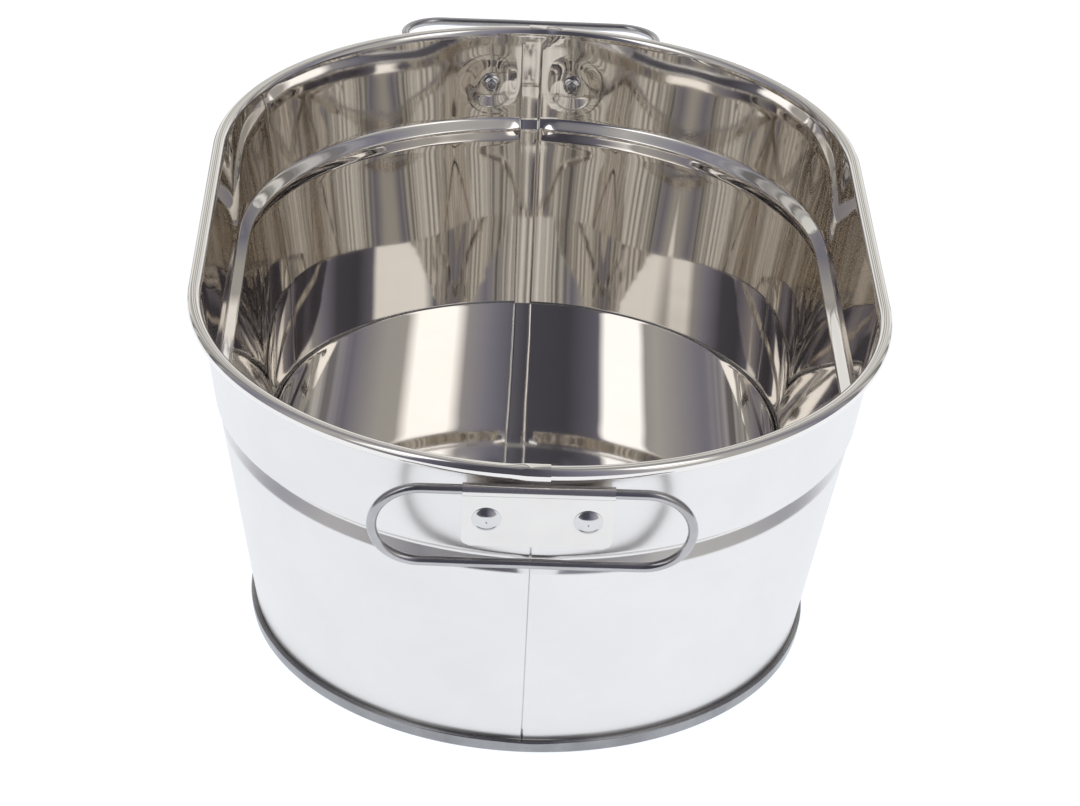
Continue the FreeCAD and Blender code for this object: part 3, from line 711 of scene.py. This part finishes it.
def studio_world():
    """A plain pale backdrop to the eye; to the steel, a room with soft boxes."""
    world = bpy.data.worlds.new("studio")
    bpy.context.scene.world = world
    world.use_nodes = True
    world.node_tree.nodes.clear()
    n = Nodes(world.node_tree)
    way = n.add("ShaderNodeTexCoord").outputs["Generated"]
    axes = n.add("ShaderNodeSeparateXYZ", {0: way})
    # azimuth 0 looks towards the front (-Y), positive to the right (+X)
    azimuth = n.math("ARCTAN2", axes.outputs["X"], n.math("MULTIPLY", axes.outputs["Y"], -1.0))
    azimuth = n.math("MULTIPLY", azimuth, DEGREES)
    elevation = n.math("MULTIPLY", n.math("ARCSINE", axes.outputs["Z"]), DEGREES)
    around = n.math("DIVIDE", n.math("ADD", azimuth, 180.0), 360.0)
    stops = []
    for at, level in ROOM:
        blue = 0.97 if level > 0.3 else 1.28
        stops.append(((at + 180) / 360, (level, level * 0.99, level * blue)))
    room = n.ramp(around, stops)
    streaks = n.add(
        "ShaderNodeTexNoise", {"W": n.math("MULTIPLY", azimuth, 0.13), "Scale": 1.0, "Detail": 2.0},
        noise_dimensions="1D",
    )
    streaks = n.ramp(streaks.outputs["Fac"], [(0.36, (0.42, 0.41, 0.41)), (0.60, (1.30, 1.30, 1.30))])
    streaked = n.add("ShaderNodeVectorMath", {0: room, 1: streaks}, operation="MULTIPLY").outputs[0]
    aside = n.math("DIVIDE", n.math("SUBTRACT", n.math("ABSOLUTE", azimuth), 95.0), 25.0, clamp=True)
    room = n.mix(aside, room, streaked)
    for az, el, az_half, el_half, soft, colour in CARDS:
        room = n.mix(card(n, (azimuth, elevation), az, el, az_half, el_half, soft), room, colour)
    seen = n.add("ShaderNodeLightPath").outputs["Is Camera Ray"]
    colour = n.mix(seen, room, (1.0, 1.0, 1.0))
    shine = n.add("ShaderNodeBackground", {"Color": colour, "Strength": 1.0})
    n.add("ShaderNodeOutputWorld", {"Surface": shine.outputs[0]})


def studio_floor():
    """A plain white table.  Beyond its front edge the steel reflects the room."""
    material = bpy.data.materials.new("white_table")
    material.use_nodes = True
    material.node_tree.nodes.clear()
    n = Nodes(material.node_tree)
    place = n.add("ShaderNodeTexCoord").outputs["Object"]
    cloud = n.add("ShaderNodeTexNoise", {"Vector": place, "Scale": 3.0, "Detail": 2.0})
    tint = n.ramp(cloud.outputs["Fac"], [(0.3, (0.20, 0.20, 0.205)), (0.7, (0.23, 0.23, 0.235))])
    shader = n.add("ShaderNodeBsdfPrincipled", {
        "Base Color": tint, "Roughness": 0.9, "Specular IOR Level": 0.1,
        "Emission Color": (0.90, 0.94, 1.0, 1.0), "Emission Strength": 0.98,
    })
    n.add("ShaderNodeOutputMaterial", {"Surface": shader.outputs[0]})
    side, front, back = 800.0, -590.0, 900.0
    corners = [(-side, front, 0), (side, front, 0), (side, back, 0), (-side, back, 0)]
    floor = mesh_object("table_top", corners, [(0, 1, 2, 3)], [material])


def camera():
    """The photograph's viewpoint: a long lens a little above and in front."""
    azimuth, elevation, roll = (math.radians(a) for a in (-1.908, 29.226, 2.811))
    target = Vector((4.231, -0.139, 58.93)) * MM
    distance = 1531.389 * MM
    level = math.cos(elevation)
    back = Vector((math.sin(azimuth) * level, -math.cos(azimuth) * level, math.sin(elevation)))
    right = Vector((0, 0, 1)).cross(back).normalized()
    up = back.cross(right)
    across = math.cos(roll) * right + math.sin(roll) * up
    above = -math.sin(roll) * right + math.cos(roll) * up
    pose = Matrix((across, above, back)).transposed().to_4x4()
    pose.translation = target + distance * back
    data = bpy.data.cameras.new("photo_camera")
    data.sensor_width = 36.0
    data.lens = 113.32
    data.clip_end = 50.0
    thing = bpy.data.objects.new("photo_camera", data)
    thing.matrix_world = pose
    bpy.context.scene.collection.objects.link(thing)
    bpy.context.scene.camera = thing


def soft_light(name, place, aim, size, power, colour):
    data = bpy.data.lights.new(name, "AREA")
    data.shape = "RECTANGLE"
    data.size, data.size_y = size
    data.energy = power
    data.color = colour
    thing = bpy.data.objects.new(name, data)
    thing.location = place
    thing.rotation_euler = (Vector(aim) - Vector(place)).to_track_quat("-Z", "Y").to_euler()
    thing.visible_camera = False
    thing.visible_glossy = False
    bpy.context.scene.collection.objects.link(thing)


def picture_settings():
    scene = bpy.context.scene
    scene.view_settings.view_transform = "Standard"
    scene.cycles.max_bounces = 16
    scene.cycles.glossy_bounces = 12
    scene.cycles.diffuse_bounces = 3


# ---------------------------------------------------------------------- assembly

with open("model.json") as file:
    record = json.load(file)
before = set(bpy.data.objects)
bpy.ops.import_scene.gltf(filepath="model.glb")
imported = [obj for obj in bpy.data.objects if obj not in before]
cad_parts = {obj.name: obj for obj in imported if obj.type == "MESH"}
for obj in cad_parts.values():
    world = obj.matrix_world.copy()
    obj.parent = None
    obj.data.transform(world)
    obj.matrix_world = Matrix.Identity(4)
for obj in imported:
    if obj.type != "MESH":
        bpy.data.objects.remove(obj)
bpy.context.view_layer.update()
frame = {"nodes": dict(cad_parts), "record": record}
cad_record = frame["record"]

# each steel: colour, shade, roughness, its spread, grain, grain scale, bump
outer_steel = steel(
    "polished_sheet_outside", (0.785, 0.765, 0.745), (0.755, 0.735, 0.715),
    0.29, 0.06, 0.03, (60, 60, 900), 0.10,
)
inner_steel = steel(
    "polished_sheet_inside", (0.81, 0.782, 0.745), (0.79, 0.762, 0.725),
    0.03, 0.03, 0.015, (50, 50, 700), 0.06,
)
edge_steel = steel(
    "sheared_edge", (0.62, 0.61, 0.60), (0.48, 0.47, 0.46), 0.30, 0.12, 0.10, (900, 900, 900), 0.5,
)
# the chime's steel is far darker than the sheet's: its colour is painted shade where the tub meets the floor
chime_painted_shade_steel = steel(
    "rolled_seam_painted_shade", (0.38, 0.38, 0.385), (0.24, 0.24, 0.245), 0.20, 0.12, 0.12, (70, 70, 1500), 0.8,
)
strip_steel = steel(
    "satin_strip", (0.77, 0.745, 0.71), (0.72, 0.695, 0.665), 0.16, 0.08, 0.10, (1400, 60, 60), 0.45,
)
# the wire's steel is darker than the sheet's: painted shade for the dark room that the wire reflects
wire_painted_shade_steel = steel(
    "drawn_wire_painted_shade", (0.50, 0.49, 0.49), (0.41, 0.40, 0.40), 0.16, 0.10, 0.10, (90, 900, 900), 0.35,
)
rivet_steel = steel(
    "rivet_steel", (0.70, 0.69, 0.68), (0.62, 0.61, 0.60), 0.11, 0.06, 0.04, (500, 500, 500), 0.2,
)
stem_steel = steel(
    "stem_steel", (0.42, 0.42, 0.43), (0.28, 0.28, 0.29), 0.34, 0.14, 0.10, (900, 900, 900), 0.6,
)
sealant = compound("seam_compound", (0.42, 0.42, 0.40), (0.34, 0.34, 0.33))

# a shell's grid faces into the tub and the pan's grid faces down
shell_steels = [inner_steel, outer_steel, edge_steel]
seam_run = math.pi * ARC_REFERENCE + 2 * HALF_STRAIGHT
front_at = [-(EAR_ACROSS["front"] + side * RIVET_ACROSS) for side in (-1, 1)]
rear_at = [-(EAR_ACROSS["rear"] + side * RIVET_ACROSS) for side in (-1, 1)]
half_shell("left_body_shell", False, [max(front_at), seam_run - max(rear_at)], 1.3, shell_steels)
half_shell("right_body_shell", True, [-min(rear_at), seam_run + min(front_at)], 6.9, shell_steels)
bottom_pan([outer_steel, inner_steel, edge_steel, chime_painted_shade_steel])
for word in ("front", "rear"):
    ear_plate(word, [strip_steel])
    wire_handle(word, [wire_painted_shade_steel])
    turned = 1 if word == "front" else -1
    for hand, side in (("left", -1), ("right", 1)):
        blind_rivet(word, hand, side * turned, rivet_steel, stem_steel)

for node, material in (
    ("rim_wire", wire_painted_shade_steel), ("bottom_seam_sealant", sealant),
    ("front_seam_sealant", sealant), ("rear_seam_sealant", sealant),
):
    cad = frame["nodes"][node]
    cad.data.materials.clear()
    cad.data.materials.append(material)

studio_world()
studio_floor()
soft_light("key", (-0.9, -1.2, 1.8), (0, 0, 0.05), (1.2, 1.2), 18.0, (1.0, 0.99, 0.97))
soft_light("fill", (1.2, 0.6, 1.6), (0, 0, 0.05), (1.2, 1.2), 12.0, (0.97, 0.98, 1.0))
camera()
picture_settings()
